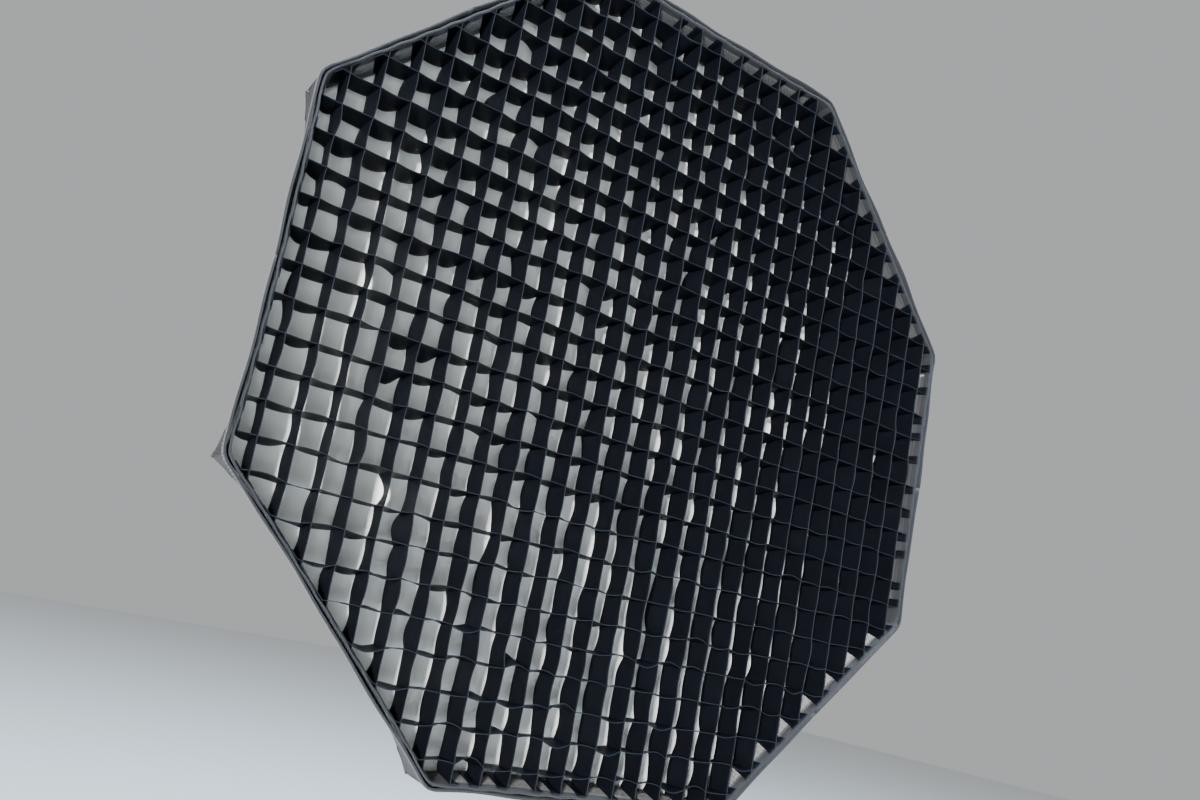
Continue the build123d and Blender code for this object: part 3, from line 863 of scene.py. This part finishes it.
def border_ring(flat, y):
    """One line right round the border, drawn in a little where ribbons pull on it."""
    ahead = (grid_rear - y) / grid_depth
    tug = (0.0009 * np.cos(full_turn * border_across / ribbon_pitch)
           + 0.0008 * np.sin(7 * border_turns + 1))
    tugged = flat - 0.0008 + 0.6 * tug * (0.4 + 0.6 * ahead)
    return loop_around(tugged, border_across, border_side, corner_round, y)


border_depths = np.linspace(grid_rear, grid_front + 0.0008, 12)
cloth = Cloth()
cloth.add(np.stack([border_ring(border_inside, y) for y in border_depths]), 0.0011, wrap=True,
          face=0)
border = cloth.build("grid_border_band", [border_nylon])
cloth = Cloth()
# its course, as depth from the front edge and height over the border's inner face
fold = [(0.0105, 0.0014), (0.004, 0.0015), (0.0006, 0.0014), (0.0, 0.0005), (0.0006, -0.0006),
        (0.004, -0.0008), (0.0105, -0.0007)]
bound_edge = [border_ring(border_inside + lift, grid_front + ahead) for ahead, lift in fold]
cloth.add(np.stack(bound_edge), cloth_thickness, wrap=True, face=0)
for from_edge in (0.0025, 0.0085):
    line = border_ring(border_inside - 0.0007, grid_front + from_edge)
    inward = -line * (1, 0, 1)
    cloth.add_loose(*stitches(line, inward, pitch=0.0044, length=0.0032, width=0.0008,
                              raise_by=0.0005), face=1)
binding = cloth.build("grid_border_binding", [binding_tape, stitch_thread])
for piece in (border, binding):
    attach(piece, "grid")
    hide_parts("grid_border")

# ---- Grid ribbons: 27 upright and 27 level strips of black nylon, slotted into each other
# Each has a folded front edge, its stitching not drawn, and ends folded along the border. The cloth
# has some slack, so its crossings wander and it bows between them, more at the rear than at the
# front.
ribbon_nylon, ribbon_tree, ribbon_shader = new_material("ribbon_nylon")
ribbon_weave = place_group(ribbon_tree, weave_group, Thread_Width=0.0009, Contrast=0.35,
                           Patch_Size=9.0, Patch_Contrast=0.6)
tint_by(ribbon_tree, ribbon_weave.outputs["Shade"], (0.0024, 0.0030, 0.0046),
        ribbon_shader.inputs["Base Color"])
ribbon_shader.inputs["Roughness"].default_value = 0.42
ribbon_shader.inputs["Specular IOR Level"].default_value = 0.03
bump_by(ribbon_tree, ribbon_weave.outputs["Height"], ribbon_shader, 0.5, 0.0003)

# The ribbons' folded front edges take a lighter, bluer copy of the ribbons' black nylon: a painted
# highlight where light catches the edges.
folded_edge_painted_highlight = cloth_material("folded_edge_painted_highlight", (0.0075, 0.0090, 0.0125), 0.5, 0.0009, 0.4, 0.5,
                             0.5, 0.02, specular=0.07)

random = np.random.default_rng(41)
per_cell = 7                     # points between two crossings
end_clearance = 0.0036           # border's inner face to a ribbon's end


def wandering(spread, smooth):
    """Seeded offsets for every crossing: part shared with the neighbours, part its own."""
    own = random.normal(0, 1, (ribbon_count, ribbon_count))
    shared = np.cumsum(random.normal(0, 0.55, (ribbon_count, ribbon_count)), axis=1)
    shared -= shared.mean(axis=1, keepdims=True)
    return spread * (own * (1 - smooth) + smooth * np.clip(shared, -2.2, 2.2))


# Offsets of the crossing of upright i and level j, sideways and up, at the front and the rear.
side_front, side_rear = wandering(0.0013, 0.45), wandering(0.0022, 0.5)
rise_front, rise_rear = wandering(0.0013, 0.45).T, wandering(0.0022, 0.5).T
for table in (side_rear, rise_rear):
    kinked = random.random(table.shape) < 0.05
    ways = random.choice((-1, 1), kinked.sum())
    table[kinked] += ways * random.uniform(0.004, 0.008, kinked.sum())
hem_half, body_half, hem_depth = 0.0005, 0.00035, 0.0062
section = ([(hem_half, 0.0012), (hem_half, hem_depth), (body_half, hem_depth + 0.0008)]
           + [(body_half, depth) for depth in np.linspace(0.011, grid_depth, 5)])
section = section + [(-lateral, depth) for lateral, depth in reversed(section)] + [(0.0, 0.0)]
section = np.array(section)


def ribbon_reach(offset, y):
    """Half a ribbon's length, up to the drawn-in border, at a depth."""
    half_side = border_inside * tan(half_turn)
    if abs(offset) <= half_side:
        return border_inside - draw_in(border_inside, offset, y) - end_clearance
    on_slant = (border_inside - abs(offset)) * sqrt(2) - half_side
    inward = draw_in(border_inside, on_slant, y) + end_clearance
    return border_inside * sqrt(2) - abs(offset) - inward * sqrt(2)


def ribbon_lines(index, lateral, along_front, along_rear, bow_front, bow_rear):
    """The ribbon's course at the front and the rear: points (along, aside), one set of columns."""
    offset = ribbon_offsets[index]
    reaches = ribbon_reach(offset, grid_front), ribbon_reach(offset, grid_rear)
    inside = np.abs(ribbon_offsets) < min(reaches) - 0.006
    courses = []
    for aside, along, bow, reach in ((lateral[0], along_front, bow_front, reaches[0]),
                                     (lateral[1], along_rear, bow_rear, reaches[1])):
        knots = np.concatenate([[-reach], ribbon_offsets[inside] + along[inside], [reach]])
        values = np.concatenate([[offset], offset + aside[inside], [offset]])
        points = []
        for cell in range(len(knots) - 1):
            share = np.linspace(0, 1, per_cell, endpoint=False)
            ease = share + 0.1 * np.sin(full_turn * share) / pi
            length = knots[cell + 1] - knots[cell]
            bulge = bow[cell] * np.sin(pi * share) * min(1, length / ribbon_pitch)
            aside_here = values[cell] + (values[cell + 1] - values[cell]) * ease + bulge
            points.append(np.stack([knots[cell] + length * share, aside_here], -1))
        points.append(np.array([[reach, offset]]))
        courses.append(np.concatenate(points))
    return reaches, offset, courses


def end_tab(reach, offset, way, turn_to):
    """Points past a ribbon's end, folded along the border's inner face."""
    slanted = abs(offset) > border_inside * tan(half_turn)
    direction = np.array([0.0, turn_to])
    if slanted:
        direction = np.array([way * sqrt(0.5), -np.sign(offset) * sqrt(0.5)])
    start = np.array([way * reach, offset])
    steps = np.array([0.0012, 0.004, 0.008, 0.0125])
    return start + steps[:, None] * direction


def make_ribbon(index, lateral, along_front, along_rear, upright, cloth):
    """One ribbon, swept with its folded front edge, added to the group's mesh."""
    cells = ribbon_count + 1
    low_down = 0.0 if upright else np.clip(-ribbon_offsets[index] / ribbon_offsets[-1], 0, 1)
    sag = 0.0 if upright else 0.0030 * (1 - low_down)
    bow_front = random.normal(-0.3 * sag, 0.0010 + 0.0040 * low_down ** 1.5, cells)
    bow_rear = random.normal(-sag, 0.0020 if upright else 0.0030, cells)
    bow_rear = np.where(random.random(cells) < 0.06, bow_rear * 2.2, bow_rear)
    reaches, offset, courses = ribbon_lines(index, lateral, along_front, along_rear,
                                            bow_front, bow_rear)
    turn_to = 1 if random.random() < 0.5 else -1
    courses = [np.concatenate([end_tab(reach, offset, -1, turn_to)[::-1], course,
                               end_tab(reach, offset, 1, turn_to)])
               for course, reach in zip(courses, reaches)]
    edges = []
    for course in courses:
        heading = np.gradient(course, axis=0)
        heading /= np.maximum(np.linalg.norm(heading, axis=1, keepdims=True), 1e-9)
        edges.append((course, np.stack([-heading[:, 1], heading[:, 0]], -1)))
    run = np.concatenate([[0], np.cumsum(np.linalg.norm(np.diff(courses[0], axis=0), axis=1))])
    ripple = 0.0005 * np.sin(run * 31 + offset * 90) + 0.0004 * np.sin(run * 77 + offset * 40)
    depth_share = (section[:, 1] / grid_depth)[None, :, None]
    middle = edges[0][0][:, None] * (1 - depth_share) + edges[1][0][:, None] * depth_share
    normal = edges[0][1][:, None] * (1 - depth_share) + edges[1][1][:, None] * depth_share
    plane = middle + normal * section[None, :, :1]
    rippled = (ripple[:, None] + 0.0009) * (1 - section[None, :, 1] / grid_depth)
    y = grid_front + np.clip(section[None, :, 1] + rippled, 0, grid_depth)
    along, aside = plane[..., 0], plane[..., 1]
    if upright:
        points = np.stack([aside, y, along], -1)
    else:
        points = np.stack([along, y, aside], -1)
    count, ring = points.shape[:2]
    order = np.arange(count * ring).reshape(count, ring)
    beside = np.roll(order, -1, 1)
    quads = np.stack([order[:-1], order[1:], beside[1:], beside[:-1]], -1).reshape(-1, 4)
    if upright:
        quads = quads[:, ::-1]
    uv = np.stack(np.broadcast_arrays(run[:, None], section[None, :, 1]), -1).reshape(-1, 2)
    # the faces round the front edge, which take the lighter painted-highlight material
    on_painted_highlight_edge = np.tile(np.arange(ring) >= ring - 2, count - 1)
    cloth.add_loose(points.reshape(-1, 3), quads, uv, on_painted_highlight_edge.astype(int))
    for ring_index, way in ((order[0], 1), (order[-1], -1)):
        pairs = [(k, k + 1, ring - 3 - k, ring - 2 - k) for k in range(ring // 2 - 1)]
        caps = ring_index[np.array(pairs)]
        caps = caps if (way > 0) != upright else caps[:, ::-1]
        cloth.faces.append(caps + cloth.count - count * ring)
        cloth.slots.append(np.zeros(len(caps), int))
    return run[-1]


for name, upright in (("upright_ribbons", True), ("level_ribbons", False)):
    asides, alongs = (side_front, side_rear), (rise_front, rise_rear)
    if not upright:
        asides, alongs = [table.T for table in alongs], [table.T for table in asides]
    cloth = Cloth()
    total = 0.0
    for index in range(ribbon_count):
        lateral = (asides[0][index], asides[1][index])
        total += make_ribbon(index, lateral, alongs[0][index], alongs[1][index], upright, cloth)
    ribbons = cloth.build(name, [ribbon_nylon, folded_edge_painted_highlight])
    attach(ribbons, "grid")
    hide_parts(f"grid_{name}")

# ---- Hook tapes: eight runs of tape outside the border, gripping the loops in the lip
tape_low, tape_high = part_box("grid_hook_tapes")
tape_flat = tape_high[0]
tape_half = tape_flat * tan(half_turn) - corner_round
tape_rows = np.linspace(tape_high[1] - 0.0002, tape_low[1] + 0.0002, 6)[:, None]
tape_inset, tape_thickness = 0.0046, 0.0038
cloth = Cloth()
across = np.linspace(-tape_half, tape_half, 80)[None, :]
out = tape_flat - tape_inset - draw_in(tape_flat, across, tape_rows) + 0.0002 * np.sin(60 * across)
for side in range(8):
    cloth.add(place_around(side * side_turn, out, across, tape_rows), tape_thickness, face=0)
tapes = cloth.build("grid_tape_runs", [loop_tape])
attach(tapes, "grid")
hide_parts("grid_hook_tapes")
